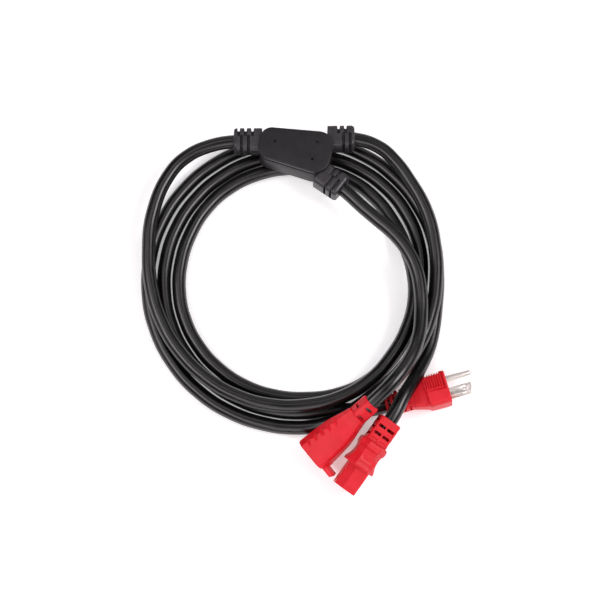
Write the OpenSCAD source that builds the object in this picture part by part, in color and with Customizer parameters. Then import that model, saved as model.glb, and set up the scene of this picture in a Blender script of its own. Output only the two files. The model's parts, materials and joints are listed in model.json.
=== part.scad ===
// Y splitter power cord set: one trunk, a moulded block, two branches.
// Millimetres, +Z up.  The set lies coiled on the ground plane z = 0.

/* [Cord] */
// outside diameter of the round three-core cord
cord_d = 11; // [8:0.5:14]

/* [Splitter block] */
// length of the moulded block along its axis
block_len = 57; // [44:1:72]
// thickness of the moulded block
block_t = 24; // [18:1:30]
// width of the block at its single-cord end
block_w1 = 23.3; // [18:0.5:30]
// width of the block at its two-cord end
block_w2 = 37; // [28:0.5:48]
// thickness of the glued lid
lid_t = 4.6; // [3:0.2:7]
// length of each moulded strain relief on the block
relief_len = 21; // [16:1:28]
// width of a block strain relief
relief_w = 19.5; // [15:0.5:24]

/* [Plug] */
// half width of the plug body across its flat sides
plug_hw = 13; // [10:0.5:17]
// length of the plug from its face to the cord
plug_len = 50.3; // [42:0.5:62]
// thickness of a flat blade
blade_t = 1.5; // [1:0.1:2]
// diameter of the round ground pin
pin_d = 4.75; // [4:0.05:6]

/* [Inlet connector] */
// width of the rectangular nose
nose_w = 24; // [20:0.5:29]
// height of the rectangular nose
nose_h = 16.5; // [13:0.5:20]

/* [Socket connector] */
// half width of the socket body at its face
sock_hw = 13.7; // [11:0.1:17]
// diameter of the ground hole in the socket face
gnd_hole_d = 5.3; // [4.8:0.1:6.4]

/* [Hidden] */
$fn = 48;

// ---- frame: the middle of the hard pieces sits over the origin
SH = [0.64, 0.13, 0];
K = cord_d/11;
CTR = [-42.8, 23.1];
COIL_R = 94.5;

// ---- end points of the cords, with the direction in which each cord leaves
TR_P = [-94.7, 138.8, 23.3];
TR_A = 180;
UP_P = [3.3, 141.2, 23.3];
UP_A = 1;
LO_P = [-6, 99, 23.3];
LO_A = -36;
PL_P = [25.3, -77.6, 6.75];
PL_Y = 14.7;
PL_T = 6.2;
C_P = [27.7, -93.7, 25.1];
C_Y = 233.8;
C_T = 10.7;
S_P = [13.1, -82.7, 37.4];
S_Y = 218.6;
S_T = 23;
function dir3(a, t) = [cos(a)*cos(t), sin(a)*cos(t), sin(t)];

// ---- routes: angle about the coil centre, radius, height of the centreline
TRUNK = [[118,130.4,23.2],[122,132.2,23],[126,134,22.6],[130,135.5,22.1],[134,136,21.6],[139,135.2,20.9],[145,132.3,20],
 [151,129.1,19.2],[158,126.2,18.4],[165,123.5,17.7],[175,119.6,17.2],[188,115.5,17.2],[205,111.3,17.2],
 [222,108.8,17.2],[240,106.8,17.2],[255,105.3,17.2],[270,103.6,17.2],[290,102,17.2],[303,100.2,17.2],
 [315,97.7,17.2],[328,95.5,17.3],[342,94.5,17.4],[356,92.6,16.6],[370,91.4,13.6],[385,92.5,9],[400,95.6,6],
 [415,97.4,5.5],[430,98.2,5.5],[460,97.6,5.5],[490,95.8,5.5],[520,94.8,5.5],[550,94.5,5.5],[580,94.5,5.5],
 [610,94.5,5.5],[640,94.5,5.5],[670,94.4,5.5],[700,94.6,5.5],[712,96,5.5],[725,99.6,5.5],[740,104.6,5.5],
 [755,109.4,5.5],[770,112.2,5.5],[790,114,5.5],[820,113,5.5],[850,110.8,5.5],[880,108.8,5.5],
 [910,106.9,5.5],[940,106.3,5.5],[970,106.3,5.5],[985,106.3,5.5],[994,106.3,5.5],[998,106.4,5.5],
 [1002,106.8,5.5],[1006,108,5.5],[1010,110.5,5.5],[1014,113.9,5.6],[1018,117.2,5.7]];
INLET = [[59,132.3,22.3],[53,131.7,21.3],[47,128.4,20.3],[40,123.2,19.3],[29,118,18.3],[18,114,17.7],
 [8,111,17.4],[-2,109.5,17.6],[-10,108.9,18.4],[-19,108.8,20],[-27,109.2,21.4],[-35,109.8,22.3],
 [-43,110.6,22.6],[-51,112.2,21.2],[-57,113.6,19.4],[-62,115,18],[-66,115.9,17.2],[-70,116.8,16.3],
 [-75,117.8,12.6],[-80,118,9.1],[-86,118,6.5],[-92,118,5.5],[-98,118,5.5],[-110,118,5.5],
 [-130,118.2,5.5],[-150,118.4,5.5],[-170,119.3,5.5],[-190,120.7,5.5],[-210,122.4,5.5],[-230,124.2,5.5],
 [-250,125.8,5.5],[-270,126.6,5.5],[-290,126.6,5.5],[-310,124.6,5.5],[-325,121.5,5.5],[-340,117,5.5],
 [-355,112,5.5],[-365,110.8,5.5],[-375,110.7,5.5],[-383,111.9,6],[-390,115,8.4],[-396,118.2,13.5],
 [-401,121.5,19],[-406,125.6,23.6],[-411,129.8,26.2]];
SOCK = [[42,82.6,25.5],[34,83.6,26.9],[26,85.9,28],[17,88.2,28.6],[8,91,28.8],[-2,94.5,28.8],
 [-12,97.3,28.9],[-20,100,29.7],[-28,103.3,32],[-35,106.2,35],[-41,108.4,38.6],[-47,110.6,41.3],
 [-52,113.3,42.5]];
function sec_at(st, a, i=0) = (i >= len(st)-2 || (st[i+1][0]-a)*(st[1][0]-st[0][0]) >= 0)
 ? i : sec_at(st, a, i+1);
function slope(st, i, k) = let(lo = max(i-1, 0), hi = min(i+1, len(st)-1))
 (st[hi][k]-st[lo][k])/(st[hi][0]-st[lo][0]);
function herm(st, a, k) = let(i = sec_at(st, a), h = st[i+1][0]-st[i][0], u = (a-st[i][0])/h)
 (2*u*u*u-3*u*u+1)*st[i][k] + (u*u*u-2*u*u+u)*h*slope(st, i, k)
 + (3*u*u-2*u*u*u)*st[i+1][k] + (u*u*u-u*u)*h*slope(st, i+1, k);
function polar(a, r, z) = let(q = COIL_R + (r-COIL_R)*K) [CTR[0] + q*cos(a), CTR[1] + q*sin(a), max(z*K, cord_d/2)];
function turn(st, a0, a1, n) = [for (i = [0:n]) let(a = a0 + (a1-a0)*i/n)
 polar(a, herm(st, a, 1), herm(st, a, 2))];
function lead(p, d, s) = p + s*cord_d*d;

TR_D = dir3(TR_A, 0);
UP_D = dir3(UP_A, 0);
LO_D = dir3(LO_A, 0);
PL_D = -dir3(PL_Y, PL_T);
C_D = -dir3(C_Y, -C_T);
S_D = -dir3(S_Y, -S_T);
trunk_pts = concat([TR_P, lead(TR_P, TR_D, 1)], turn(TRUNK, 123, 139, 2), turn(TRUNK, 154, 994, 56),
 turn(TRUNK, 1002, 1010, 1),
 [lead(PL_P, PL_D, 1), PL_P]);
inlet_pts = concat([UP_P, lead(UP_P, UP_D, 1)], turn(INLET, 59, 44, 2), turn(INLET, 29, -46, 5),
 turn(INLET, -53, -101, 6), turn(INLET, -116, -371, 17), turn(INLET, -383, -411, 4), [lead(C_P, C_D, 1), C_P]);
sock_pts = concat([LO_P, lead(LO_P, LO_D, 1)], turn(SOCK, 42, -52, 9), [lead(S_P, S_D, 1), S_P]);

// ---- a cord: one closed tube with six sides, a corner of the section up
function unit(v) = v/norm(v);
function tang(p, i) = unit(p[min(i+1, len(p)-1)]-p[max(i-1, 0)]);
function ring(p, i) = let(t = tang(p, i), s = unit(cross(t, [0, 0, 1])), u = cross(s, t))
 [for (j = [0:5]) p[i] + cord_d/2*(cos(60*j)*u + sin(60*j)*s)];
module tube(p) {
 m = len(p);
 pts = [for (i = [0:m-1]) for (q = ring(p, i)) q];
 side = [for (i = [0:m-2]) for (j = [0:5]) let(a = 6*i+j, b = 6*i+(j+1)%6, c = b+6, d = a+6)
  for (f = [[a, c, b], [a, d, c]]) f];
 polyhedron(pts, concat(side, [[for (j = [0:5]) j]], [[for (j = [5:-1:0]) 6*(m-1)+j]]), 4);
}

// ---- measured gap between strands, taken on points along the centrelines
function fine(p, n=4) = [for (i = [0:len(p)-2]) for (j = [0:n-1]) p[i] + (p[i+1]-p[i])*j/n];
function apart(a, b, skip) = min([for (i = [0:len(a)-1]) for (j = [0:len(b)-1])
 if (!skip || abs(i-j) > 24) norm(a[i]-b[j])]) - cord_d;
function run(p, i=0) = i >= len(p)-1 ? 0 : norm(p[i+1]-p[i]) + run(p, i+1);
echo(least_gap = [apart(fine(trunk_pts), fine(trunk_pts), true), apart(fine(inlet_pts), fine(inlet_pts), true),
 apart(fine(trunk_pts), fine(inlet_pts), false), apart(fine(trunk_pts), fine(sock_pts), false),
 apart(fine(inlet_pts), fine(sock_pts), false)]);
echo(cord_lengths = [run(trunk_pts), run(inlet_pts), run(sock_pts)]);

// ---- general solids
// a body lofted along X through rows of [x, half width, half height, squareness]
function oval(n, a, b, p) = [for (i = [0:n-1]) let(c = cos(360*(i+0.5)/n), s = sin(360*(i+0.5)/n))
 [a*sign(c)*pow(abs(c), 2/p), b*sign(s)*pow(abs(s), 2/p)]];
module loft(rows, n=32) {
 m = len(rows);
 pts = [for (r = rows) for (q = oval(n, r[1], r[2], r[3])) [r[0], q[0], q[1]]];
 side = [for (i = [0:m-2]) for (j = [0:n-1]) let(a = n*i+j, b = n*i+(j+1)%n, c = b+n, d = a+n)
  for (f = [[a, c, b], [a, d, c]]) f];
 polyhedron(pts, concat(side, [[for (j = [0:n-1]) j]], [[for (j = [n-1:-1:0]) n*(m-1)+j]]), 4);
}
// a box between two corners
module box(a, b) translate(a) cube(b-a);
// a flat-sided bar along X with rounded long edges
module bar(x0, x1, hy, hz, r) {
 translate([x0, -hy+r, -hz]) cube([x1-x0, 2*hy-2*r, 2*hz]);
 translate([x0, -hy, -hz+r]) cube([x1-x0, 2*hy, 2*hz-2*r]);
 for (y = [-hy+r, hy-r], z = [-hz+r, hz-r]) translate([x0, y, z]) rotate([0, 90, 0]) cylinder(r = r, h = x1-x0);
}
module x_rod(x0, x1, y, z, d) translate([x0, y, z]) rotate([0, 90, 0]) cylinder(d = d, h = x1-x0);

// ---- splitter block, in its own axes: X along the block, single cord at -X
BC = [-44.6, 128.7, 23.3];
BA = -12;
module in_block() translate(BC + SH) rotate([0, 0, BA]) children();
function corner_c(p, q, s, r) = let(u = unit(p-q), v = unit(s-q), h = acos(u*v)/2) q + unit(u+v)*r/sin(h);
function corner_t(p, q, r, s) = let(u = unit(p-q), v = unit(s-q), h = acos(u*v)/2) q + u*r/tan(h);
function plan(e) = [[-block_len/2-e, -block_w1/2-e], [block_len/2+e, -block_w2/2-e],
 [block_len/2+e, block_w2/2+e], [-block_len/2-e, block_w1/2+e]];
RAD = [7, 9, 9, 7];
module outline(e) {
 q = plan(e);
 polygon([for (i = [0:3]) for (t = [corner_t(q[(i+3)%4], q[i], RAD[i], q[(i+1)%4]),
  corner_t(q[(i+1)%4], q[i], RAD[i], q[(i+3)%4])]) t]);
 for (i = [0:3]) translate(corner_c(q[(i+3)%4], q[i], q[(i+1)%4], RAD[i])) circle(r = RAD[i]);
}
ZB = -block_t/2;
ZL = block_t/2-lid_t;
// room for the crimps, closed by the lid
ROOM_X = block_len/2-8.5;
ROOM_Z = ZB+4.4;
ROOM_MID = (ROOM_Z+ZL)/2;
CRIMP_T = (ZL-ROOM_Z)*0.17;
CRIMP_GAP = (ZL-ROOM_Z)*0.3;
module block_room() box([-ROOM_X, -7.5, ROOM_Z], [ROOM_X, 7.5, ZL]);
module block_outer() {
 translate([0, 0, ZB+1.2]) linear_extrude(block_t-1.2-0.9) outline(0);
 translate([0, 0, ZB]) linear_extrude(1.3) outline(-1);
}
module splitter_base() color([0.19, 0.19, 0.2]) in_block() difference() {
 union() {
  translate([0, 0, ZB+1.2]) linear_extrude(ZL-0.9-ZB-1.2) outline(0);
  translate([0, 0, ZB]) linear_extrude(1.2) outline(-1);
  translate([0, 0, ZL-0.9]) linear_extrude(0.9) outline(-0.8);
 }
 block_room();
}
module splitter_lid() color([0.21, 0.21, 0.22]) in_block() difference() {
 union() {
  translate([0, 0, ZL]) linear_extrude(lid_t-0.8) outline(0);
  translate([0, 0, ZL+lid_t-0.8]) linear_extrude(0.8) outline(-0.9);
 }
 for (p = [[11.5-block_len/2, 3], [block_len/2-12.5, 9], [block_len/2-12.5, -5]])
  translate([p[0], p[1], block_t/2-0.8]) cylinder(d = 1.8, h = 2);
}
// a crimped Y: one lead in from the single cord, two out to the branches
module y_lead(k) translate([0, 0, ROOM_MID+k*CRIMP_GAP-CRIMP_T/2]) linear_extrude(CRIMP_T) {
 translate([3-ROOM_X, -1.6]) square([ROOM_X-3, 3.2]);
 circle(d = 3.6);
 for (a = [-15, 15]) rotate(a) translate([0, -1.6]) square([ROOM_X-3, 3.2]);
}
module splitter_core() color([0.8, 0.8, 0.78]) in_block() difference() {
 block_room();
 for (k = [-1, 0, 1]) y_lead(k);
}
module line_splice() color([0.72, 0.45, 0.25]) in_block() y_lead(1);
module neutral_splice() color([0.72, 0.45, 0.25]) in_block() y_lead(0);
module ground_splice() color([0.72, 0.45, 0.25]) in_block() y_lead(-1);

// ---- slotted strain reliefs along +X, ending at x = 0 where the cord meets them
SLOT_W = 1.7;
SLOT_D = 2;
// one slot at x, over the top and down the side that s names
module wrap_cut(x, hw, hh, s) {
 mirror([0, s > 0 ? 0 : 1, 0]) {
  box([-x-SLOT_W/2, -hw*0.5, hh-SLOT_D], [-x+SLOT_W/2, hw+1, hh+1]);
  box([-x-SLOT_W/2, hw-SLOT_D, -hh*0.55], [-x+SLOT_W/2, hw+1, hh+1]);
 }
}
// slots across one face, each with a web left in its middle
module face_cut(xs, hw, hh, d, web) for (x = xs) difference() {
 box([-x-SLOT_W/2, -hw*0.72, hh-d], [-x+SLOT_W/2, hw*0.72, hh+1]);
 if (web > 0) box([-x-SLOT_W, -web/2, hh-d-1], [-x+SLOT_W, web/2, hh+2]);
}
// round the near side at the first list's stations, and round the far side at the second's
module wrap_relief(len, hw, hh, r, near, far, s) difference() {
 bar(-len, 0, hw, hh, r);
 for (x = near) wrap_cut(x, hw, hh, s);
 for (x = far) rotate([180, 0, 0]) wrap_cut(x, hw, hh, s);
}
// on the two flat sides at the first list's stations, and on the other two at the second's
module square_relief(len, hw, hh, r, sides, faces, web) difference() {
 bar(-len, 0, hw, hh, r);
 for (a = [-90, 90]) rotate([a, 0, 0]) face_cut(sides, hh, hw, SLOT_D, web);
 for (a = [0, 180]) rotate([a, 0, 0]) face_cut(faces, hw, hh, min(SLOT_D, hh-cord_d/2+0.4), 0);
}
module block_relief(p, a, len, w, near, far, s) difference() {
 translate(p + SH) rotate([0, 0, a]) wrap_relief(len, w/2, 8.5, 3, near, far, s);
 in_block() translate([0, 0, ZB-1]) linear_extrude(block_t+2) outline(0);
 in_block() block_outer();
}
module trunk_relief() color([0.17, 0.17, 0.18])
 block_relief(TR_P, TR_A, relief_len+3, relief_w, [6.3, 11.9], [3.9, 9.5, 15.1], 1);
module upper_branch_relief() color([0.17, 0.17, 0.18])
 block_relief(UP_P, UP_A, relief_len+3, relief_w, [3.9, 9.3], [7.4, 12.9], -1);
module lower_branch_relief() color([0.17, 0.17, 0.18])
 block_relief(LO_P, LO_A, relief_len+3, relief_w+1.5, [5.1, 10.8], [8.4, 13.4], -1);

// ---- plug, in its own axes: X out of the face, Y to the ground pin
module in_plug() translate(PL_P + SH) rotate([0, -PL_T, PL_Y]) translate([plug_len, 0, 0]) children();
P_BODY = 28.5;
PIN_Y = plug_hw-5.8;
BL_Y = PIN_Y-11.9;
PIN_X = 18.6;
module plug_room() box([-16, 4.1-plug_hw, -8.6], [-3, plug_hw-2.2, 8.6]);
module blade(s) difference() {
 union() {
  box([-14, BL_Y-3.175, s*6.35-blade_t/2], [17, BL_Y+3.175, s*6.35+blade_t/2]);
  box([17, BL_Y-2.4, s*6.35-blade_t/2], [17.9, BL_Y+2.4, s*6.35+blade_t/2]);
 }
 translate([11.9, BL_Y, s*6.35-2]) cylinder(d = 4, h = 4);
}
// the pin, on a thinner shank inside the moulding
module ground_pin() {
 x_rod(-14, 1, PIN_Y, 0, pin_d-0.9);
 x_rod(0, PIN_X, PIN_Y, 0, pin_d);
 translate([PIN_X, PIN_Y, 0]) sphere(d = pin_d);
}
module plug_body() color([0.85, 0.12, 0.17]) in_plug() difference() {
 loft([[-P_BODY, plug_hw-4.1, 6.5, 3], [-25, plug_hw-3.2, 6.6, 3], [-21, plug_hw-2.2, 7.3, 3.4],
  [-18.4, plug_hw-1.7, 8.4, 4], [-16.9, plug_hw-0.8, 9.9, 4.6], [-16.2, plug_hw, 10.3, 5],
  [-2, plug_hw, 11.9, 5.5], [0, plug_hw-0.4, 11.6, 5.5]]);
 for (i = [0:6]) box([-3.2-i*2.1, plug_hw-0.8, -9.5], [-2.2-i*2.1, plug_hw+1, 9.5]);
 for (i = [0:6]) box([-3.2-i*2.1, 1.5, 11.1-i*0.22], [-2.2-i*2.1, 10, 14]);
 plug_room();
 for (s = [-1, 1]) blade(s);
 ground_pin();
}
module plug_relief() color([0.82, 0.11, 0.16]) in_plug() translate([-plug_len, 0, 0]) rotate([0, 0, 180])
 square_relief(plug_len-P_BODY, 8.7, 6.4, 3, [5.6, 9.9, 14.2, 18.5], [3.5, 7.8, 12.1, 16.4], 0);
module plug_insert() color([0.9, 0.89, 0.85]) in_plug() difference() {
 plug_room();
 for (s = [-1, 1]) blade(s);
 ground_pin();
}
module plug_line_blade() color([0.8, 0.78, 0.74]) in_plug() blade(1);
module plug_neutral_blade() color([0.8, 0.78, 0.74]) in_plug() blade(-1);
module plug_ground_pin() color([0.8, 0.78, 0.74]) in_plug() ground_pin();

// ---- inlet connector: X out of the nose, Z to the earth side, then rolled
C_LEN = 62.5;
C_ROLL = 75;
module in_c13() translate(C_P + SH) rotate([0, C_T, C_Y]) rotate([C_ROLL, 0, 0]) translate([C_LEN, 0, 0])
 children();
C_NOSE = 19.5;
C_BODY = 42;
CHAM = 6;
hw = nose_w/2;
hh = nose_h/2;
CON_Y = hw-5;
EARTH_Z = hh-5.55;
module nose_plan() polygon([[-hw, -hh], [hw, -hh], [hw, hh-CHAM], [hw-CHAM, hh], [CHAM-hw, hh], [-hw, hh-CHAM]]);
module c13_room() box([-19, 3.2-hw, 2.85-hh], [-1.2, hw-3.2, hh-4]);
// the openings for the inlet's blades
module c13_slots() {
 for (s = [-1, 1]) box([-1.3, s*CON_Y-1.3, 3.05-hh], [1, s*CON_Y+1.3, hh-7.05]);
 box([-1.3, -3, EARTH_Z-1.3], [1, 3, EARTH_Z+1.3]);
}
module side_tube(s) box([-16, s*CON_Y-1.1, 3.35-hh], [-1.2, s*CON_Y+1.1, hh-7.35]);
module earth_tube() box([-16, -2.9, EARTH_Z-1.1], [-1.2, 2.9, EARTH_Z+1.1]);
module c13_body() color([0.85, 0.12, 0.17]) in_c13() difference() {
 union() {
  translate([-C_NOSE, 0, 0]) rotate([90, 0, 90]) linear_extrude(C_NOSE) nose_plan();
  loft([[-C_BODY, hw-1.6, hh+1.15, 4], [-40.4, hw+1, hh+2.55, 4], [-37, hw+1.4, hh+2.75, 4],
   [-34.5, hw-0.6, hh+1.55, 4.2], [-30, hw-0.6, hh+1.4, 4.4], [-26, hw+0.4, hh+1.9, 4.8],
   [-22.5, hw+1.9, hh+3, 5.2], [-20.2, hw+2.6, hh+3.5, 5.5], [0.1-C_NOSE, hw+2.6, hh+3.5, 5.5]]);
 }
 c13_room();
 c13_slots();
}
module c13_relief() color([0.82, 0.11, 0.16]) in_c13() translate([-C_LEN, 0, 0]) rotate([0, 0, 180])
 square_relief(C_LEN-C_BODY, 8.8, 8.8, 3, [7.3, 13.6], [4.1, 10.4, 16.6], 1.4);
module c13_insert() color([0.75, 0.1, 0.14]) in_c13() difference() {
 c13_room();
 for (s = [-1, 1]) side_tube(s);
 earth_tube();
}
module c13_line_contact() color([0.8, 0.68, 0.35]) in_c13() side_tube(1);
module c13_neutral_contact() color([0.8, 0.68, 0.35]) in_c13() side_tube(-1);
module c13_ground_contact() color([0.8, 0.68, 0.35]) in_c13() earth_tube();

// ---- socket connector: X out of the face, Y to the finger tab
S_LEN = 61.4;
S_BODY = 47;
// blade slots, and the sprung clips behind them
SLOT_Y = [-7.2, -0.4];
SLOT_Z = 6.35;
SLOT_T = 2.1;
CLIP_T = 0.5;
HOLE_Y = 6;
TUBE_T = 0.6;
module in_sock() translate(S_P + SH) rotate([0, S_T, S_Y]) translate([S_LEN, 0, 0]) children();
module sock_room() {
 box([-22, -8, -8.7], [-2, 1, 8.7]);
 box([-22, 0.9, -5], [-2, 9.8, 5]);
}
module slot(s, x0, x1, e) box([x0, SLOT_Y[0]-e, s*SLOT_Z-SLOT_T/2-e], [x1, SLOT_Y[1]+e, s*SLOT_Z+SLOT_T/2+e]);
module sock_holes() {
 for (s = [-1, 1]) slot(s, -20.5, 1, 0);
 x_rod(-20.5, 1, HOLE_Y, 0, gnd_hole_d);
}
module sock_clip(s) difference() {
 slot(s, -21.2, -9, CLIP_T);
 slot(s, -20.5, -8, 0);
}
module socket_body() color([0.85, 0.12, 0.17]) in_sock() difference() {
 union() {
  loft([[-S_BODY, sock_hw-6.2, 7.2, 2.6], [-38, sock_hw-4.2, 8, 2.6], [-31, sock_hw-2.3, 9.2, 2.6],
   [-25, sock_hw-1.2, 10, 2.7], [-12, sock_hw-0.3, 11.4, 2.9], [-1.5, sock_hw, 12.6, 3.2],
   [0, sock_hw-0.8, 11.9, 3.2]]);
  box([-3.9, 9, -5], [0, 22, 5]);
  box([-7.6, 9, -4], [-3.8, 14.9, 4]);
 }
 for (i = [0:4]) translate([-9-i*6, -sock_hw+i*0.35, 4]) rotate([0, 0, 25]) cube([2, 3, 9], center = true);
 sock_room();
 sock_holes();
}
module socket_relief() color([0.82, 0.11, 0.16]) in_sock() translate([-S_LEN, 0, 0]) rotate([45, 0, 180])
 square_relief(S_LEN-S_BODY, 6.8, 6.8, 3.4, [4.6, 13.2], [8.9], 0);
module socket_insert() color([0.78, 0.1, 0.15]) in_sock() difference() {
 sock_room();
 sock_holes();
 for (s = [-1, 1]) slot(s, -21.2, -9, CLIP_T);
 x_rod(-21.2, -9, HOLE_Y, 0, gnd_hole_d+2*TUBE_T);
}
module socket_line_contact() color([0.8, 0.68, 0.35]) in_sock() sock_clip(1);
module socket_neutral_contact() color([0.8, 0.68, 0.35]) in_sock() sock_clip(-1);
module socket_ground_contact() color([0.8, 0.68, 0.35]) in_sock() difference() {
 x_rod(-21.2, -9, HOLE_Y, 0, gnd_hole_d+2*TUBE_T);
 x_rod(-20.5, -8, HOLE_Y, 0, gnd_hole_d);
}

// ---- cords
module trunk_cord() color([0.05, 0.05, 0.055]) translate(SH) tube(trunk_pts);
module inlet_branch_cord() color([0.05, 0.05, 0.055]) translate(SH) tube(inlet_pts);
module socket_branch_cord() color([0.05, 0.05, 0.055]) translate(SH) tube(sock_pts);

splitter_base();
splitter_lid();
splitter_core();
line_splice();
neutral_splice();
ground_splice();
trunk_relief();
upper_branch_relief();
lower_branch_relief();
plug_body();
plug_relief();
plug_insert();
plug_line_blade();
plug_neutral_blade();
plug_ground_pin();
c13_body();
c13_relief();
c13_insert();
c13_line_contact();
c13_neutral_contact();
c13_ground_contact();
socket_body();
socket_relief();
socket_insert();
socket_line_contact();
socket_neutral_contact();
socket_ground_contact();
trunk_cord();
inlet_branch_cord();
socket_branch_cord();
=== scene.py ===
# Y splitter power cord set, coiled on a pale table.
# A black trunk cord runs from the splitter block to a red grounded plug; two black branch cords
# run from the block to a red appliance connector and to a red grounded socket.
import json
import math

import bpy
from mathutils import Matrix, Vector

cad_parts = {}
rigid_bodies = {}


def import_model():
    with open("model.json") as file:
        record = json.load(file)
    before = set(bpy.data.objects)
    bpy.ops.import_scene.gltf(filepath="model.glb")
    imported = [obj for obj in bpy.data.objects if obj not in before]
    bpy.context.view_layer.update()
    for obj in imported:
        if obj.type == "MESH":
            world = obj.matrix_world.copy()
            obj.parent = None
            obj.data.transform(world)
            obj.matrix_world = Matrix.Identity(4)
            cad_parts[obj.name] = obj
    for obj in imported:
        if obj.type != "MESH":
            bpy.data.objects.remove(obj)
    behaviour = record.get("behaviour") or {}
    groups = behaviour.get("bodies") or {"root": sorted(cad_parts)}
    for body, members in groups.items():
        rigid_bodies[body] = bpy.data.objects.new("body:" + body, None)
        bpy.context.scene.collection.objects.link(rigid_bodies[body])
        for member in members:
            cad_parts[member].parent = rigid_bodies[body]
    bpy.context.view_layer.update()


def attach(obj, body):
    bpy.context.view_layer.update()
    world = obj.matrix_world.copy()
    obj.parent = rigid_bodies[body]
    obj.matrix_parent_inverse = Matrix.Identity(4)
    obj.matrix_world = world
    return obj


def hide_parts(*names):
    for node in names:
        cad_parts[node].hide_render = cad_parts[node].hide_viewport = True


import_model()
bpy.ops.object.select_all(action="DESELECT")

# ---------------------------------------------------------------- camera
# A long lens above the coil, tipped a little towards the plugs, with a wide border of white
# table all round.
look_at = Vector((-0.0404, 0.0071, 0.012))
camera_up = math.radians(72)
camera_away = 1.1
# half the sensor's width and the lens's length, in one unit
half_width, lens_length = 300, 1388.2
camera_data = bpy.data.cameras.new("camera")
camera_data.sensor_width = 36
camera_data.angle = 2 * math.atan(half_width / lens_length)
camera_data.clip_start = 0.05
camera_data.clip_end = 20
camera = bpy.data.objects.new("camera", camera_data)
bpy.context.collection.objects.link(camera)
towards = Vector((0, -math.cos(camera_up), math.sin(camera_up)))
camera.location = look_at + towards * camera_away
camera.rotation_euler = towards.to_track_quat("Z", "Y").to_euler()
bpy.context.scene.camera = camera


# ---------------------------------------------------------------- cords
# Three round cords of three-core flexible cable with a glossy black jacket, 11 mm thick.
# The trunk lies in two and a half turns, the inlet branch in one and a third beside and on
# it, and each end is held 13 mm deep in a strain relief, where it shows through the slots.
class Value:
    """The output of a shader node, with sums and products on it written as in Python."""

    def __init__(self, finish, out):
        self.finish, self.out = finish, out

    def maths(self, how, other):
        return self.finish.node("Math", {"operation": how}, {0: self, 1: other})

    def __add__(self, other):
        return self.maths("ADD", other)

    def __mul__(self, other):
        return self.maths("MULTIPLY", other)

    __radd__ = __add__
    __rmul__ = __mul__

    def spread(self, low, high):
        """The value's range from low to high, spread from 0 to 1 and kept there."""
        return self.finish.node("MapRange", {"clamp": True}, {"Value": self, 1: low, 2: high, 3: 0.0, 4: 1.0})


class Finish:
    """A material with one glossy shader and the nodes that vary it over the surface."""

    def __init__(self, name, colour, roughness, **steady):
        self.material = bpy.data.materials.new(name)
        self.material.use_nodes = True
        self.tree = self.material.node_tree
        self.shader = self.tree.nodes["Principled BSDF"]
        self.set("Base Color", tuple(colour) + (1,))
        self.set("Roughness", roughness)
        for socket, value in steady.items():
            self.set(socket.replace("_", " "), value)
        self.place = self.node("TexCoord", {}, {}, "Object")

    def node(self, kind, settings, inputs, output=0):
        """Adds a shader node; an input is a value or another node's output."""
        made = self.tree.nodes.new("ShaderNode" + kind)
        for key, value in settings.items():
            setattr(made, key, value)
        for socket, value in inputs.items():
            if isinstance(value, Value):
                self.tree.links.new(value.out, made.inputs[socket])
            else:
                made.inputs[socket].default_value = value
        return Value(self, made.outputs[output])

    def set(self, socket, value):
        """Gives one input of the shader a value or another node's output."""
        if isinstance(value, Value):
            self.tree.links.new(value.out, self.shader.inputs[socket])
        else:
            self.shader.inputs[socket].default_value = value

    def noise(self, scale, detail=3.0, roughness=0.55):
        """Cloudy noise in the object's own coordinates, scale to the metre."""
        inputs = {"Vector": self.place, "Scale": scale, "Detail": detail, "Roughness": roughness}
        return self.node("TexNoise", {}, inputs)

    def mixed(self, amount, one, two):
        """One colour turning into another by amount."""
        made = self.tree.nodes.new("ShaderNodeMix")
        made.data_type = "RGBA"
        self.tree.links.new(amount.out, made.inputs[0])
        made.inputs[6].default_value = tuple(one) + (1,)
        made.inputs[7].default_value = tuple(two) + (1,)
        return Value(self, made.outputs[2])

    def relief(self, height, depth, strength=1.0):
        """Raises the surface by height, in metres of depth."""
        inputs = {"Strength": strength, "Distance": depth, "Height": height}
        self.set("Normal", self.node("Bump", {}, inputs))


# how far the frame's origin stands from that of the places below, and the cord's thickness, in metres
shift = Vector((0.00064, 0.00013, 0))
cord_d = 0.011
# in millimetres: the height of a cord's middle on the table, how deep its end goes into a
# relief, how far from a far end it starts to run straight, and the middle of the coil
lying, in_relief = 5.5, 13
plug_lead, branch_lead = 11, 3
coil_middle = (-42.8, 23.1)
# where each cord leaves its relief: the point, and the way it leaves by, around and up in degrees
trunk_end, trunk_way = Vector((-94.7, 138.8, 23.3)), (180, 0)
upper_end, upper_way = Vector((3.3, 141.2, 23.3)), (1, 0)
lower_end, lower_way = Vector((-6.9, 97, 23.3)), (-36, 0)
plug_end, plug_way = Vector((25.3, -77.6, 6.75)), (14.7, 6.2)
c13_end, c13_way = Vector((27.7, -93.7, 25.1)), (233.8, -10.7)
socket_end, socket_way = Vector((13.1, -82.7, 37.4)), (218.6, -23)
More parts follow.
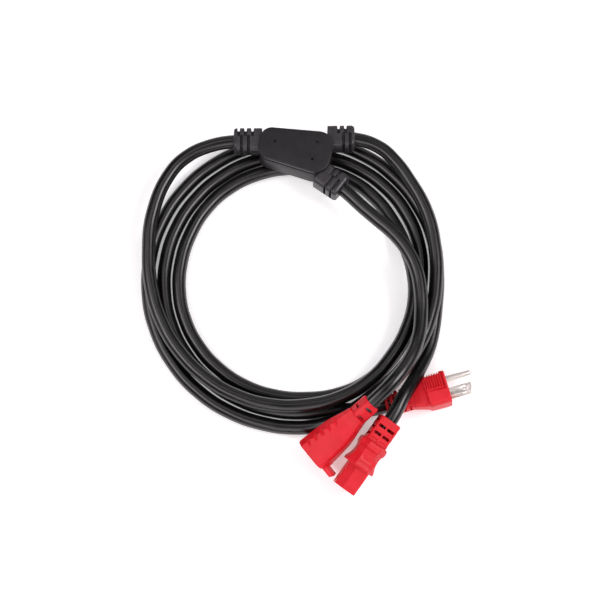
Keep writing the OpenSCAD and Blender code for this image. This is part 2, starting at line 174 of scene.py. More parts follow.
# stations round the coil: angle, radius, height of the cord's middle
trunk_stations = [
    (118, 130.4, 23.2), (122, 132.6, 23), (126, 134.9, 22.6), (130, 136.6, 22.1),
    (134, 137.1, 21.6), (139, 136.4, 20.9), (145, 133.8, 20), (151, 130.7, 19.2),
    (158, 127.4, 18.4), (165, 123.1, 17.7), (175, 118.7, 17.2), (188, 114.9, 17.2),
    (205, 111.3, 17.2), (222, 108.8, 17.2), (240, 106.8, 17.2), (255, 105.3, 17.2),
    (270, 103.6, 17.2), (290, 102, 17.2), (303, 100.2, 17.2), (315, 97.7, 17.2), (328, 95.5, 17.3),
    (342, 94.5, 17.4), (356, 92.6, 16.6), (370, 91.4, 13.6), (385, 91.4, 9), (400, 94.6, 6),
    (415, 97.6, 5.5), (430, 99.4, 5.5), (460, 100, 5.5), (480, 99.8, 5.5), (496, 98.8, 5.5),
    (512, 96.8, 5.5), (530, 95.4, 5.5), (550, 94.8, 5.5), (580, 94.2, 5.5), (610, 94.4, 5.5),
    (630, 94.8, 5.5), (642, 95.8, 5.5), (656, 97.4, 5.5), (670, 97.4, 5.5), (684, 96.4, 5.5),
    (700, 96, 5.5), (712, 97, 5.5), (725, 99.6, 5.5), (740, 103.4, 5.5), (755, 106.8, 5.5),
    (770, 109.5, 5.5), (790, 111.6, 5.5), (820, 112.1, 5.5), (842, 111.4, 5.5), (862, 110, 5.5),
    (885, 108, 5.5), (910, 106.6, 5.5), (940, 106, 5.5), (970, 106, 5.5), (985, 106.2, 5.5),
    (994, 106.3, 5.5), (998, 106.4, 5.5), (1002, 106.8, 5.5), (1006, 108, 5.5), (1010, 110.5, 5.5),
    (1014, 113.9, 5.6), (1018, 117.2, 5.7),
]
inlet_stations = [
    (59, 129.4, 22.3), (53, 127.6, 21.3), (47, 124.8, 20.3), (40, 121.5, 19.3), (29, 118, 18.3),
    (18, 114, 17.7), (8, 111, 17.4), (-2, 109.5, 17.6), (-10, 108.9, 18.4), (-19, 108.8, 20),
    (-27, 109.2, 21.4), (-35, 109.8, 22.3), (-43, 110.6, 22.6), (-51, 110.9, 21.2),
    (-57, 111.6, 19.4), (-62, 112.6, 18), (-66, 113.8, 17.2), (-70, 115.4, 16.3),
    (-75, 117.2, 12.6), (-80, 118, 9.1), (-86, 118, 6.5), (-92, 118, 5.5), (-98, 118, 5.5),
    (-110, 118, 5.5), (-130, 118.2, 5.5), (-150, 118.4, 5.5), (-170, 119.3, 5.5),
    (-190, 120.7, 5.5), (-210, 122.4, 5.5), (-230, 123.8, 5.5), (-250, 124.6, 5.5),
    (-270, 125.1, 5.5), (-290, 124.8, 5.5), (-310, 121.7, 5.5), (-325, 118.6, 5.5),
    (-340, 115.9, 5.5), (-355, 112.4, 5.5), (-365, 111.2, 5.5), (-375, 112.6, 5.6),
    (-384, 115.3, 6.5), (-391, 117.6, 8.9), (-396, 119.1, 12.4), (-401, 121.5, 17),
    (-406.5, 124.4, 21.6), (-411.3, 127.9, 25.2),
]
socket_stations = [
    (52, 77.8, 24.3), (42, 77.5, 25.5), (34, 79.1, 26.9), (26, 82.3, 28), (17, 86.6, 28.6),
    (8, 90.8, 28.8), (-2, 94.9, 28.8), (-12, 98.2, 28.9), (-20, 101.8, 29.7), (-28, 106, 32),
    (-35, 109.6, 35), (-41, 112, 38.6), (-47, 114.2, 41.3), (-52, 116, 42.5),
]


def between(stations, angle, k):
    """The radius (k = 1) or height (k = 2) at an angle, on a smooth curve through the stations."""
    way = 1 if stations[1][0] > stations[0][0] else -1
    i = 0
    while i < len(stations) - 2 and (stations[i + 1][0] - angle) * way < 0:
        i += 1

    def slope(j):
        low, high = stations[max(j - 1, 0)], stations[min(j + 1, len(stations) - 1)]
        return (high[k] - low[k]) / (high[0] - low[0])

    a, b = stations[i], stations[i + 1]
    step = b[0] - a[0]
    u = (angle - a[0]) / step
    return (
        (2 * u**3 - 3 * u * u + 1) * a[k]
        + (u**3 - 2 * u * u + u) * step * slope(i)
        + (3 * u * u - 2 * u**3) * b[k]
        + (u**3 - u * u) * step * slope(i + 1)
    )


def turns(stations, first, last, steps):
    """Points of the coil at equal angles, in millimetres."""
    points = []
    for i in range(steps + 1):
        angle = first + (last - first) * i / steps
        radius, turn = between(stations, angle, 1), math.radians(angle)
        x, y = coil_middle[0] + radius * math.cos(turn), coil_middle[1] + radius * math.sin(turn)
        points.append(Vector((x, y, max(between(stations, angle, 2), lying))))
    return points


def heading(angles):
    """The unit vector that points around and up by two angles in degrees."""
    around, up = (math.radians(a) for a in angles)
    return Vector((math.cos(around) * math.cos(up), math.sin(around) * math.cos(up), math.sin(up)))


def laid(points):
    """The points in metres, in the frame."""
    return [p * 0.001 + shift for p in points]


trunk_route = laid(
    [trunk_end - in_relief * heading(trunk_way), trunk_end]
    + turns(trunk_stations, 123, 139, 2)
    + turns(trunk_stations, 154, 994, 56)
    + turns(trunk_stations, 1002, 1010, 1)
    + [plug_end - plug_lead * heading(plug_way), plug_end + in_relief * heading(plug_way)]
)
inlet_route = laid(
    [upper_end - in_relief * heading(upper_way), upper_end]
    + turns(inlet_stations, 59, 44, 2)
    + turns(inlet_stations, 29, -46, 5)
    + turns(inlet_stations, -53, -101, 6)
    + turns(inlet_stations, -116, -371, 17)
    + turns(inlet_stations, -383, -411, 4)
    + [c13_end - branch_lead * heading(c13_way), c13_end + in_relief * heading(c13_way)]
)
socket_route = laid(
    [lower_end - in_relief * heading(lower_way), lower_end]
    + turns(socket_stations, 47, -52, 9)
    + [socket_end - branch_lead * heading(socket_way), socket_end + in_relief * heading(socket_way)]
)

jacket = Finish("cord_jacket", (0.004, 0.0036, 0.004), 0.34, Specular_IOR_Level=0.65)
scuffs = jacket.noise(55, 3).spread(0.42, 0.72)
jacket.set("Roughness", 0.28 + 0.07 * scuffs)
jacket.set("Base Color", jacket.mixed(scuffs, (0.0012, 0.001, 0.0012), (0.003, 0.0026, 0.003)))
jacket.relief(jacket.noise(60, 2), 0.0001, 0.15)


def cord(name, route, node):
    """A cord as one smooth round tube along its route."""
    line = bpy.data.curves.new(name, "CURVE")
    line.dimensions = "3D"
    line.bevel_depth = cord_d / 2
    line.bevel_resolution = 8
    line.use_fill_caps = True
    line.resolution_u = 10
    spline = line.splines.new("BEZIER")
    spline.bezier_points.add(len(route) - 1)
    for point, place in zip(spline.bezier_points, route):
        point.co = place
        point.handle_left_type = point.handle_right_type = "AUTO"
    spline.use_smooth = True
    line.materials.append(jacket.material)
    piece = bpy.data.objects.new(name, line)
    bpy.context.collection.objects.link(piece)
    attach(piece, "root")
    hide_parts(node)
    return piece


trunk_piece = cord("trunk_cord_jacket", trunk_route, "trunk_cord")
inlet_piece = cord("inlet_branch_jacket", inlet_route, "inlet_branch_cord")
socket_piece = cord("socket_branch_jacket", socket_route, "socket_branch_cord")


# ---------------------------------------------------------------- splitter block
# Two moulded shells of matt black nylon, a deep base and a flat lid glued on, in a rounded
# wedge that widens from the single cord to the two branches.  Three tiny gate marks sit in
# the lid, and the potted crimps fill the inside.

# the block's middle in metres and its turn in degrees, then its sizes in millimetres
block_middle, block_turn = Vector((-0.0446, 0.1287, 0.0233)), -12
block_at = Matrix.Translation(shift + block_middle) @ Matrix.Rotation(math.radians(block_turn), 4, "Z")
block_len, narrow, wide, block_t, lid_t = 57.0, 23.3, 37.0, 24.0, 4.6
narrow_corner, wide_corner = 7.6, 13.6
# how far the two shells stand out past the outline
base_out, lid_out = 0.6, 1
# the foot drawn in under the base, and the groove under the lid
foot, foot_in = 1.4, 1.1
groove, groove_in = 2.2, 2
lid_z = block_t / 2 - lid_t
# where the gate marks sit on the lid, and how far they go in
gate_marks, mark_in = ((-17.2, 1.4), (16, 7.8), (15.3, -7.6)), 0.6

shell = Finish("block_plastic", (0.028, 0.026, 0.029), 0.5, Specular_IOR_Level=0.45)
grain = shell.noise(1500, 4, 0.6)
patches = shell.noise(160, 3).spread(0.35, 0.7)
shell.set("Base Color", shell.mixed(patches, (0.006, 0.0045, 0.0062), (0.012, 0.0098, 0.0122)))
shell.set("Roughness", 0.4 + 0.14 * grain.spread(0.3, 0.7))
shell.relief(grain, 0.0001, 0.6)


def edit():
    """Edits the active piece with all its faces selected."""
    bpy.ops.object.mode_set(mode="EDIT")
    bpy.ops.mesh.select_mode(type="FACE")
    bpy.ops.mesh.select_all(action="SELECT")


def done():
    """Leaves edit mode."""
    bpy.ops.object.mode_set(mode="OBJECT")


def pick(piece, wanted):
    """Selects the faces whose middle and normal answer wanted."""
    bpy.ops.object.mode_set(mode="OBJECT")
    for face in piece.data.polygons:
        face.select = wanted(face.center, face.normal)
    for edge in piece.data.edges:
        edge.select = False
    for vertex in piece.data.vertices:
        vertex.select = False
    for face in piece.data.polygons:
        if face.select:
            for v in face.vertices:
                piece.data.vertices[v].select = True
    bpy.ops.object.mode_set(mode="EDIT")
    bpy.ops.mesh.select_mode(type="FACE")


def use(piece):
    """Makes the piece the only one selected, and the active one."""
    bpy.ops.object.select_all(action="DESELECT")
    piece.select_set(True)
    bpy.context.view_layer.objects.active = piece


def finished(piece, kind, **settings):
    """Adds a modifier with its settings and applies it."""
    use(piece)
    made = piece.modifiers.new(kind.lower(), kind)
    for key, value in settings.items():
        setattr(made, key, value)
    bpy.ops.object.modifier_apply(modifier=made.name)


def cut(piece, cutters):
    """Takes every cutter out of the piece."""
    for cutter in cutters:
        finished(piece, "BOOLEAN", operation="DIFFERENCE", object=cutter, solver="EXACT")
        bpy.data.objects.remove(cutter, do_unlink=True)


def seated(piece, at, finish, node, smooth=40):
    use(piece)
    piece.matrix_world = at @ Matrix.Scale(0.001, 4) @ piece.matrix_world
    bpy.ops.object.transform_apply(location=True, rotation=True, scale=True)
    if smooth:
        bpy.ops.object.shade_smooth_by_angle(angle=math.radians(smooth))
    piece.data.materials.clear()
    piece.data.materials.append(finish.material)
    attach(piece, "root")
    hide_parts(node)
    return piece


def wedge(name, z, out):
    """The block's outline as one face, drawn out a little: a wedge with rounded corners."""
    bpy.ops.object.select_all(action="DESELECT")
    bpy.ops.mesh.primitive_plane_add(size=2, location=(0, 0, 0))
    piece = bpy.context.object
    piece.name = name
    for vertex in piece.data.vertices:
        x, y = math.copysign(block_len / 2 + out, vertex.co.x), math.copysign(1, vertex.co.y)
        vertex.co = (x, y * ((wide if x > 0 else narrow) / 2 + out), z)
    for left, offset in ((True, narrow_corner), (False, wide_corner)):
        bpy.ops.object.mode_set(mode="EDIT")
        bpy.ops.mesh.select_mode(type="VERT")
        bpy.ops.mesh.select_all(action="DESELECT")
        bpy.ops.object.mode_set(mode="OBJECT")
        ends = sorted(piece.data.vertices, key=lambda v: v.co.x if left else -v.co.x)[:2]
        for vertex in ends:
            vertex.select = True
        bpy.ops.object.mode_set(mode="EDIT")
        bpy.ops.mesh.bevel(affect="VERTICES", offset=offset, segments=12, offset_type="OFFSET")
    bpy.ops.object.mode_set(mode="OBJECT")
    return piece


base = wedge("splitter_base_shell", -block_t / 2 + foot, base_out)
edit()
wall = lid_z - groove + block_t / 2 - foot
bpy.ops.mesh.extrude_region_move(TRANSFORM_OT_translate={"value": (0, 0, wall)})
bpy.ops.mesh.inset(thickness=groove_in, use_even_offset=True)
bpy.ops.mesh.extrude_region_move(TRANSFORM_OT_translate={"value": (0, 0, groove)})
pick(base, lambda middle, normal: middle.z < -block_t / 2 + foot + 0.1 and normal.z < -0.9)
bpy.ops.mesh.extrude_region_move(TRANSFORM_OT_translate={"value": (0, 0, -foot)})
drawn_in = (1 - 2 * foot_in / block_len, 1 - 2 * foot_in / wide, 1)
bpy.ops.transform.resize(value=drawn_in, center_override=(0, 0, -block_t / 2))
edit()
bpy.ops.mesh.normals_make_consistent(inside=False)
done()
finished(base, "BEVEL", width=0.45, segments=3, limit_method="ANGLE", angle_limit=math.radians(35))
seated(base, block_at, shell, "splitter_base")

lid = wedge("splitter_lid_plate", lid_z, lid_out)
edit()
bpy.ops.mesh.extrude_region_move(TRANSFORM_OT_translate={"value": (0, 0, lid_t)})
bpy.ops.mesh.select_all(action="SELECT")
bpy.ops.mesh.normals_make_consistent(inside=False)
done()
finished(lid, "BEVEL", width=1.1, segments=6, limit_method="ANGLE", angle_limit=math.radians(60))
marks = []
for x, y in gate_marks:
    mark_at = (x, y, block_t / 2 - mark_in)
    bpy.ops.mesh.primitive_cone_add(vertices=20, radius1=0.8, radius2=1.15, depth=2, location=mark_at)
    marks.append(bpy.context.object)
cut(lid, marks)
seated(lid, block_at, shell, "splitter_lid")


# ---------------------------------------------------------------- block strain reliefs
# Three flexible sleeves moulded over the cords where they enter the block.  Each is a
# flat-sided bar cut by staggered slots, long ones from the near side and short ones from the
# far side, so that it bends with the cord.
sleeve_rubber = Finish("relief_plastic", (0.02, 0.019, 0.021), 0.42, Specular_IOR_Level=0.5)
sleeve_rubber.set("Roughness", 0.3 + 0.14 * sleeve_rubber.noise(420, 4).spread(0.35, 0.7))
patches = sleeve_rubber.noise(140, 3).spread(0.35, 0.7)
sleeve_rubber.set("Base Color", sleeve_rubber.mixed(patches, (0.026, 0.0235, 0.0265), (0.038, 0.035, 0.039)))
sleeve_rubber.relief(sleeve_rubber.noise(1400, 3), 0.0001, 0.6)


def slab(low, high, turn=0.0):
    """A cutter: a plain box between two corners, turned about X."""
    size = [b - a for a, b in zip(low, high)]
    middle = [(a + b) / 2 for a, b in zip(low, high)]
    bpy.ops.object.select_all(action="DESELECT")
    bpy.ops.mesh.primitive_cube_add(size=1)
    box = bpy.context.object
    tilt = Matrix.Rotation(math.radians(turn), 4, "X")
    box.matrix_world = tilt @ Matrix.Translation(middle) @ Matrix.Diagonal(size + [1])
    bpy.ops.object.transform_apply(location=True, rotation=True, scale=True)
    return box


def stack(name, rows, corner, segments=8):
    """A body drawn through rounded-box sections along X: rows of x, half width, half height."""
    bpy.ops.object.select_all(action="DESELECT")
    bpy.ops.mesh.primitive_plane_add(size=2)
    piece = bpy.context.object
    piece.name = name
    x, hy, hz = rows[0]
    for vertex in piece.data.vertices:
        vertex.co = (x, math.copysign(hy, vertex.co.x), math.copysign(hz, vertex.co.y))
    bpy.ops.object.mode_set(mode="EDIT")
    bpy.ops.mesh.select_mode(type="VERT")
    bpy.ops.mesh.select_all(action="SELECT")
    radius = corner * min(hy, hz)
    bpy.ops.mesh.bevel(affect="VERTICES", offset=radius, segments=segments, offset_type="OFFSET")
    bpy.ops.mesh.select_mode(type="FACE")
    bpy.ops.mesh.select_all(action="SELECT")
    for nx, ny, nz in rows[1:]:
        bpy.ops.mesh.extrude_region_move(TRANSFORM_OT_translate={"value": (nx - x, 0, 0)})
        bpy.ops.transform.resize(value=(1, ny / hy, nz / hz), center_override=(nx, 0, 0))
        x, hy, hz = nx, ny, nz
    bpy.ops.mesh.select_all(action="SELECT")
    bpy.ops.mesh.normals_make_consistent(inside=False)
    bpy.ops.object.mode_set(mode="OBJECT")
    return piece


def softened(piece, cell, passes):
    """Runs every edge of a moulded piece into a small round, with cells of one size."""
    finished(piece, "REMESH", mode="VOXEL", voxel_size=cell, use_smooth_shade=True)
    finished(piece, "SMOOTH", factor=0.5, iterations=passes)


def sleeve(name, length, hw, hh, near_slots, far_slots, near):
    """A slotted sleeve along +X, of half width hw and half height hh, that ends at x = 0."""
    slot_half, slot_in, rounded = 1, 3, 0.5
    rows = [(-length, hw, hh), (-2.2, hw, hh), (-0.8, hw - 0.5, hh - 0.5), (0, hw - 1.3, hh - 1.3)]
    piece = stack(name, rows, rounded)
    cutters = []
    for stations, side, share in ((near_slots, near, -0.25), (far_slots, -near, 0.15)):
        outside = side * (hw + 2)
        across, edge = sorted((outside, side * hw * share)), sorted((outside, side * (hw - slot_in)))
        for x in stations:
            back, front = -x - slot_half, -x + slot_half
            cutters.append(slab((back, across[0], hh - slot_in), (front, across[1], hh + 2)))
            cutters.append(slab((back, edge[0], -hh * 0.7), (front, edge[1], hh + 2)))
    cut(piece, cutters)
    softened(piece, 0.32, 4)
    return piece


def at_end(end, way):
    """The place of a sleeve whose cord leaves it at the end given, by the way given."""
    return Matrix.Translation(shift + end * 0.001) @ Matrix.Rotation(math.radians(way[0]), 4, "Z")


# the trunk's sleeve looks the other way, so its near side is the other one
piece = sleeve("trunk_relief_sleeve", 23, 9.75, 8.5, (6.3, 11.9), (3.9, 9.5, 15.1), near=1)
seated(piece, at_end(trunk_end, trunk_way), sleeve_rubber, "trunk_relief", 0)
piece = sleeve("upper_relief_sleeve", 22, 9.75, 8.5, (3.9, 9.3), (7.4, 12.9), near=-1)
seated(piece, at_end(upper_end, upper_way), sleeve_rubber, "upper_branch_relief", 0)
piece = sleeve("lower_relief_sleeve", 22, 10.5, 8.5, (5.1, 10.8), (8.4, 13.4), near=-1)
seated(piece, at_end(lower_end, lower_way), sleeve_rubber, "lower_branch_relief", 0)


# ---------------------------------------------------------------- grounded plug
# A moulded plug in soft red vinyl: ribbed grips over the ground half, a smooth lower flank,
# and a slotted sleeve on the cord.  Two flat nickel-plated blades and a round ground pin
# stand out of its face.
plug_len = 50.3
# the blades' and the pin's places across the face, and their sizes
blade_y, blade_z, pin_y = -4.7, 6.35, 7.2
blade_len, blade_w, blade_t, blade_hole_x = 31.9, 6.35, 1.5, 11.9
pin_len, pin_d = 32.6, 4.75
plug_at = (
    Matrix.Translation(shift + plug_end * 0.001)
    @ Matrix.Rotation(math.radians(plug_way[0]), 4, "Z")
    @ Matrix.Rotation(math.radians(-plug_way[1]), 4, "Y")
    @ Matrix.Translation((plug_len * 0.001, 0, 0))
)
red = Finish("red_plastic", (0.85, 0.01, 0.018), 0.4, Specular_IOR_Level=0.35)
red_grain = red.noise(900, 4)
patches = red.noise(110, 3).spread(0.35, 0.7)
red.set("Base Color", red.mixed(patches, (0.64, 0.006, 0.014), (0.72, 0.011, 0.024)))
red.set("Roughness", 0.38 + 0.14 * red_grain.spread(0.3, 0.7))
red.relief(red_grain, 0.00008, 0.5)

plug_rows = [
    (-28.5, 8.9, 6.5), (-25, 9.8, 6.7), (-21, 10.8, 7.4), (-18.4, 11.4, 8.5), (-16.9, 12.3, 9.9),
    (-16.0, 12.9, 10.4), (-9, 13, 11.2), (-2, 13, 11.9), (-0.5, 12.9, 11.8), (0, 12.6, 11.5),
]
plug = stack("plug_shell", plug_rows, 0.42)
# the grip's recess on the top, the one on its side, and the slanted lower flank
grip_back, grip_front = -17.2, -1.7
cutters = [
    slab((grip_back, 0, 10.5), (grip_front, 20, 16)), slab((grip_back, 12.2, -20), (-4.8, 20, 20)),
    slab((grip_back, -11, 7.14), (grip_front, -6.4, 12), -42),
]
# the grooves between its ribs, on the top and on the side
rib_step = 2.0
for i in range(8):
    back, front = -3.2 - i * rib_step, -2.1 - i * rib_step
    cutters.append(slab((back, 0.6, 9), (front, 20, 16)))
    if i > 0:
        cutters.append(slab((back, 11.1, -9.4), (front, 20, 20)))
# the holes that the blades and the pin come out of
for s in (-1, 1):
    cutters.append(slab((-6, blade_y - 3.3, s * blade_z - 0.85), (1, blade_y + 3.3, s * blade_z + 0.85)))
bpy.ops.mesh.primitive_cylinder_add(
    vertices=32, radius=2.5, depth=8, location=(-2, pin_y, 0), rotation=(0, math.pi / 2, 0)
)
cutters.append(bpy.context.object)
cut(plug, cutters)
softened(plug, 0.3, 1)
seated(plug, plug_at, red, "plug_body", 0)

sleeve_rows = [(-plug_len, 8.0, 5.7), (-49.4, 8.7, 6.4), (-28.4, 8.8, 6.45)]
plug_sleeve = stack("plug_relief_sleeve", sleeve_rows, 0.5)
cutters = []
for i in range(4):
    x = -plug_len + 3.5 + i * 4.3
    cutters.append(slab((x - 0.75, -3.5, 4.2), (x + 0.75, 12, 10)))
    cutters.append(slab((x + 1.4, -12, 3.2), (x + 2.9, -6.4, 10)))
    cutters.append(slab((x + 1.4, -12, -4.4), (x + 2.9, -6.4, 4)))
    cutters.append(slab((x - 0.75, 6.4, -4), (x + 0.75, 12, 5)))
cut(plug_sleeve, cutters)
softened(plug_sleeve, 0.3, 2)
seated(plug_sleeve, plug_at, red, "plug_relief", 0)

nickel = Finish("blade_nickel", (0.9, 0.85, 0.8), 0.35, Metallic=1.0)
nickel.set("Roughness", 0.3 + 0.1 * nickel.noise(200, 3).spread(0.35, 0.7))


def blade(name, s, node):
    """A flat blade with a rounded tip and a round hole near its end."""
    bpy.ops.object.select_all(action="DESELECT")
    bpy.ops.mesh.primitive_cube_add(size=1)
    piece = bpy.context.object
    piece.name = name
    size = Matrix.Diagonal((blade_len, blade_w, blade_t, 1))
    piece.matrix_world = Matrix.Translation((1.95, blade_y, s * blade_z)) @ size
    bpy.ops.object.transform_apply(location=True, rotation=True, scale=True)
    bpy.ops.object.mode_set(mode="EDIT")
    bpy.ops.mesh.select_mode(type="EDGE")
    bpy.ops.mesh.select_all(action="DESELECT")
    bpy.ops.object.mode_set(mode="OBJECT")
    for edge in piece.data.edges:
        a, b = (piece.data.vertices[v].co for v in edge.vertices)
        edge.select = a.x > 10 and b.x > 10 and abs(a.y - b.y) < 0.01
    bpy.ops.object.mode_set(mode="EDIT")
    bpy.ops.mesh.bevel(offset=1.3, segments=6)
    bpy.ops.object.mode_set(mode="OBJECT")
    hole_at = (blade_hole_x, blade_y, s * blade_z)
    bpy.ops.mesh.primitive_cylinder_add(vertices=40, radius=2.0, depth=6, location=hole_at)
    cut(piece, [bpy.context.object])
    finished(piece, "BEVEL", width=0.22, segments=2, limit_method="ANGLE", angle_limit=math.radians(40))
    return seated(piece, plug_at, nickel, node)


line_blade = blade("line_blade_strip", 1, "plug_line_blade")
neutral_blade = blade("neutral_blade_strip", -1, "plug_neutral_blade")

bpy.ops.object.select_all(action="DESELECT")
bpy.ops.mesh.primitive_cylinder_add(
    vertices=40, radius=pin_d / 2, depth=pin_len, location=(2.3, pin_y, 0), rotation=(0, math.pi / 2, 0)
)
pin = bpy.context.object
pin.name = "ground_pin_rod"
bpy.ops.object.transform_apply(location=True, rotation=True, scale=True)
# the pin's end runs in to a blunt point
pick(pin, lambda middle, normal: normal.x > 0.9)
for out, share in ((0.9, 0.925), (0.7, 0.8), (0.5, 0.62), (0.25, 0.4)):
    bpy.ops.mesh.extrude_region_move(TRANSFORM_OT_translate={"value": (out, 0, 0)})
    bpy.ops.transform.resize(value=(1, share, share), center_override=(0, pin_y, 0))
done()
seated(pin, plug_at, nickel, "plug_ground_pin", 35)


# ---------------------------------------------------------------- appliance connector
# The red connector for an appliance inlet: a rectangular nose with two cut corners, a thin
# shoulder flange, a waist and a thick grip, and a slotted square sleeve on the cord.
c13_len, c13_roll = 62.5, 75
nose_hw, nose_hh = 12, 8.25
# where the side contacts' slots stand, and half their width
contact_y, contact_half = 7, 1.3
c13_at = (
    Matrix.Translation(shift + c13_end * 0.001)
    @ Matrix.Rotation(math.radians(c13_way[0]), 4, "Z")
    @ Matrix.Rotation(math.radians(-c13_way[1]), 4, "Y")
    @ Matrix.Rotation(math.radians(c13_roll), 4, "X")
    @ Matrix.Translation((c13_len * 0.001, 0, 0))
)
nose = slab((-30, -nose_hw, -nose_hh), (0, nose_hw, nose_hh))
nose.name = "inlet_connector_shell"
for s in (-1, 1):
    edit()
    bpy.ops.mesh.bisect(plane_co=(0, s * nose_hw, 2.25), plane_no=(0, s, 1), use_fill=True, clear_outer=True)
    done()
cutters = [
    slab((-6, s * contact_y - contact_half, -5.2), (1, s * contact_y + contact_half, 1.2)) for s in (-1, 1)
]
cut(nose, cutters + [slab((-6, -3, 1.4), (1, 3, 4.0))])
grip_rows = [
    (-42, 10.4, 9.4), (-41.4, 12.4, 10.5), (-40, 13.1, 10.9), (-37.6, 13.3, 11), (-36.2, 12.9, 10.7),
    (-34.5, 11.6, 9.9), (-32, 11.2, 9.6), (-29, 11.4, 9.7), (-26, 12.3, 10.2), (-23.4, 13.8, 11.1),
    (-21.6, 14.6, 11.8), (-19.6, 14.6, 11.8),
]
grip = stack("grip", grip_rows, 0.5, 1)
use(nose)
grip.select_set(True)
bpy.ops.object.join()
softened(nose, 0.3, 2)
c13_body = seated(nose, c13_at, red, "c13_body", 0)

sleeve_rows = [(-c13_len, 8.1, 8.1), (-61.6, 8.8, 8.8), (-46, 8.8, 8.8), (-41.8, 9.3, 9.0)]
c13_sleeve = stack("inlet_relief_sleeve", sleeve_rows, 0.36)
cutters = []
# two slots in each row, with a web between them
paired = ((-6.8, -0.7), (0.7, 6.8))
slot_half, slot_floor, outside = 1.1, 3.2, 12
for x in (7.3, 13.6):
    back, front = -c13_len + x - slot_half, -c13_len + x + slot_half
    for low, high in paired:
        cutters.append(slab((back, slot_floor, low), (front, outside, high)))
        cutters.append(slab((back, -outside, low), (front, -slot_floor, high)))
# a shallow third row, on one side only
for low, high in paired:
    cutters.append(slab((-44.9, 8.1, low), (-42.9, outside, high)))
for x in (4.1, 10.4, 16.6):
    back, front = -c13_len + x - slot_half, -c13_len + x + slot_half
    for s in (-1, 1):
        low, high = sorted((s * slot_floor, s * outside))
        cutters.append(slab((back, -6.6, low), (front, 6.6, high)))
cut(c13_sleeve, cutters)
softened(c13_sleeve, 0.3, 2)
seated(c13_sleeve, c13_at, red, "c13_relief", 0)


# ---------------------------------------------------------------- socket connector
# The red grounded socket: a long tapering body with short slanted grip grooves down one
# flank, a flat finger tab at its face, and a slotted sleeve turned a quarter on its corner.
socket_len = 61.4
socket_at = (
    Matrix.Translation(shift + socket_end * 0.001)
    @ Matrix.Rotation(math.radians(socket_way[0]), 4, "Z")
    @ Matrix.Rotation(math.radians(-socket_way[1]), 4, "Y")
    @ Matrix.Translation((socket_len * 0.001, 0, 0))
)
body_rows = [
    (-47, 7.5, 7.2), (-45, 7.9, 7.4), (-38, 9.5, 8), (-31, 11.3, 9.1), (-25, 12.4, 10), (-12, 13.4, 11.4),
    (-1.6, 13.7, 12.6), (-0.5, 13.5, 12.4), (0, 13.0, 12.0),
]
socket_shell = stack("socket_shell", body_rows, 0.4)
edit()
# the flank that carries the grooves is cut flat
bpy.ops.mesh.bisect(plane_co=(0, -10.9, 10.9), plane_no=(-0.14, -0.7, 0.7), use_fill=True, clear_outer=True)
done()
# the finger tab at the face, and its root
tab = slab((-3.9, 9, -5), (0, 22, 5))
root = slab((-7.4, 9, -4), (-3.5, 14.6, 4))
use(socket_shell)
tab.select_set(True)
root.select_set(True)
bpy.ops.object.join()
softened(socket_shell, 0.45, 1)
# the grip grooves, then the two slots and the round hole of the face
cutters = []
slant = (math.radians(-67.5), 0, math.radians(-10))
for i in range(5):
    dent_at = (-7 - i * 6.3, -8.43 + i * 0.53, 11.67 - i * 0.75)
    bpy.ops.mesh.primitive_cylinder_add(vertices=24, radius=1.2, depth=14, location=dent_at, rotation=slant)
    cutters.append(bpy.context.object)
for s in (-1, 1):
    cutters.append(slab((-8, -7.2, s * blade_z - 1.05), (1, -0.4, s * blade_z + 1.05)))
bpy.ops.mesh.primitive_cylinder_add(
    vertices=32, radius=2.65, depth=12, location=(-4, 6.0, 0), rotation=(0, math.pi / 2, 0)
)
cutters.append(bpy.context.object)
cut(socket_shell, cutters)
softened(socket_shell, 0.32, 2)
seated(socket_shell, socket_at, red, "socket_body", 0)

sleeve_rows = [(-socket_len, 5.9, 5.9), (-60.2, 6.8, 6.8), (-46.8, 6.9, 6.9)]
socket_sleeve = stack("socket_relief_sleeve", sleeve_rows, 0.62)
cutters = []
for x, above in ((4.6, False), (8.9, True), (13.2, False)):
    back, front = -socket_len + x - slot_half, -socket_len + x + slot_half
    for s in (-1, 1):
        low, high = sorted((s * 4.9, s * 10))
        if above:
            cutters.append(slab((back, -2.7, low), (front, 2.7, high)))
        else:
            cutters.append(slab((back, low, -4), (front, high, 4)))
cut(socket_sleeve, cutters)
softened(socket_sleeve, 0.28, 2)
use(socket_sleeve)
socket_sleeve.matrix_world = Matrix.Rotation(math.radians(45), 4, "X")
bpy.ops.object.transform_apply(location=True, rotation=True, scale=True)
seated(socket_sleeve, socket_at, red, "socket_relief", 0)


# ---------------------------------------------------------------- inner parts
# What the shells hold: crimped copper leads in potting, the blades' carrier, and the brass
# contacts behind the slots.  They keep their own shape and take a finish each.
copper = Finish("crimp_copper", (0.76, 0.4, 0.22), 0.3, Metallic=1.0)
copper.set("Roughness", 0.22 + 0.25 * copper.noise(260, 4).spread(0.3, 0.7))
brass = Finish("contact_brass", (0.78, 0.6, 0.28), 0.28, Metallic=1.0)
brass.set("Roughness", 0.2 + 0.25 * brass.noise(260, 4).spread(0.3, 0.7))
resin = Finish("potting_resin", (0.6, 0.58, 0.52), 0.35)
resin.set("Base Color", resin.mixed(resin.noise(120, 4), (0.5, 0.48, 0.42), (0.68, 0.66, 0.6)))
carrier = Finish("carrier_plastic", (0.78, 0.77, 0.72), 0.4)
carrier.set("Roughness", 0.35 + 0.15 * carrier.noise(500, 3))
inner_red = Finish("insert_plastic", (0.5, 0.012, 0.028), 0.4)
inner_red.set("Roughness", 0.35 + 0.15 * inner_red.noise(500, 3))
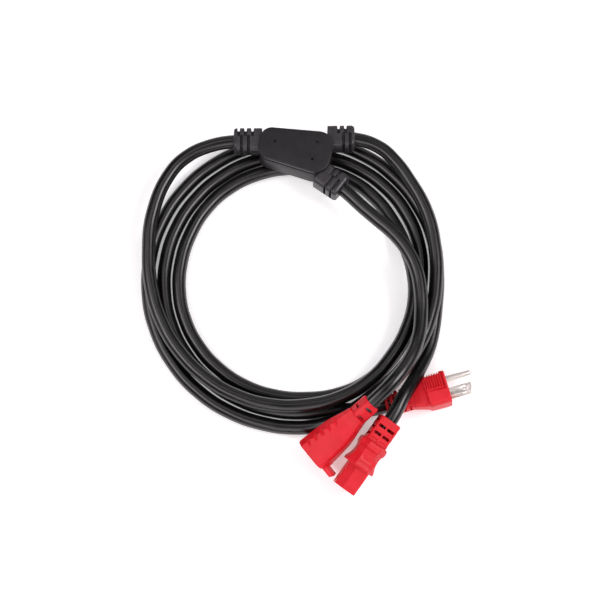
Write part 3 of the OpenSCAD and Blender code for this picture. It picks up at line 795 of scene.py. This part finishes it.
inner = {
    "splitter_core": resin,
    "line_splice": copper, "neutral_splice": copper, "ground_splice": copper,
    "plug_insert": carrier, "c13_insert": inner_red, "socket_insert": inner_red,
    "c13_line_contact": brass, "c13_neutral_contact": brass, "c13_ground_contact": brass,
    "socket_line_contact": brass, "socket_neutral_contact": brass, "socket_ground_contact": brass,
}
for node, finish in inner.items():
    for part in bpy.data.objects:
        if part.type == "MESH" and (part.name == node or part.name.startswith(node + ".")):
            for material_slot in part.material_slots:
                material_slot.material = finish.material


# ---------------------------------------------------------------- table and light
# A white table that glows a little, in a dark room, with soft boxes half way up on every
# side but the far one, and a few more low and high.
paper = Finish("table_paper", (0.9, 0.9, 0.9), 0.9, Emission_Strength=0.36)
paper.set("Emission Color", (1, 1, 1, 1))
paper.set("Base Color", paper.mixed(paper.noise(30, 2), (0.895, 0.895, 0.895), (0.905, 0.905, 0.905)))
bpy.ops.object.select_all(action="DESELECT")
bpy.ops.mesh.primitive_plane_add(size=8, location=(0, 0, -0.0001))
table = bpy.context.object
table.name = "table"
table.data.materials.append(paper.material)

room = bpy.data.worlds.new("room")
room.use_nodes = True
room.node_tree.nodes["Background"].inputs["Color"].default_value = (0, 0, 0, 1)
bpy.context.scene.world = room

light_away, light_height = 1.5, 0.52
# each box: around and up in degrees, width in metres, power
for around, up, width, power in (
    (0, 50, 0.8, 12), (180, 50, 0.8, 6.5), (270, 30, 1.08, 4.9), (225, 50, 0.8, 4.5), (315, 50, 0.8, 2),
    (90, 30, 1.08, 1.8), (120, 70, 0.59, 1.8), (270, 50, 0.8, 1.4), (180, 30, 1.08, 1.4), (45, 50, 0.8, 1.2),
    (0, 70, 0.59, 0.9),
):
    light = bpy.data.lights.new(f"box_{around}_{up}", "AREA")
    light.shape = "RECTANGLE"
    light.size, light.size_y = width, light_height
    light.energy = power
    light.color = (1, 0.955, 0.985)
    lamp = bpy.data.objects.new(light.name, light)
    bpy.context.collection.objects.link(lamp)
    lamp.location = look_at + light_away * heading((around, up))
    lamp.rotation_euler = heading((around, up)).to_track_quat("Z", "Y").to_euler()

bpy.context.scene.view_settings.view_transform = "Standard"
bpy.context.view_layer.update()
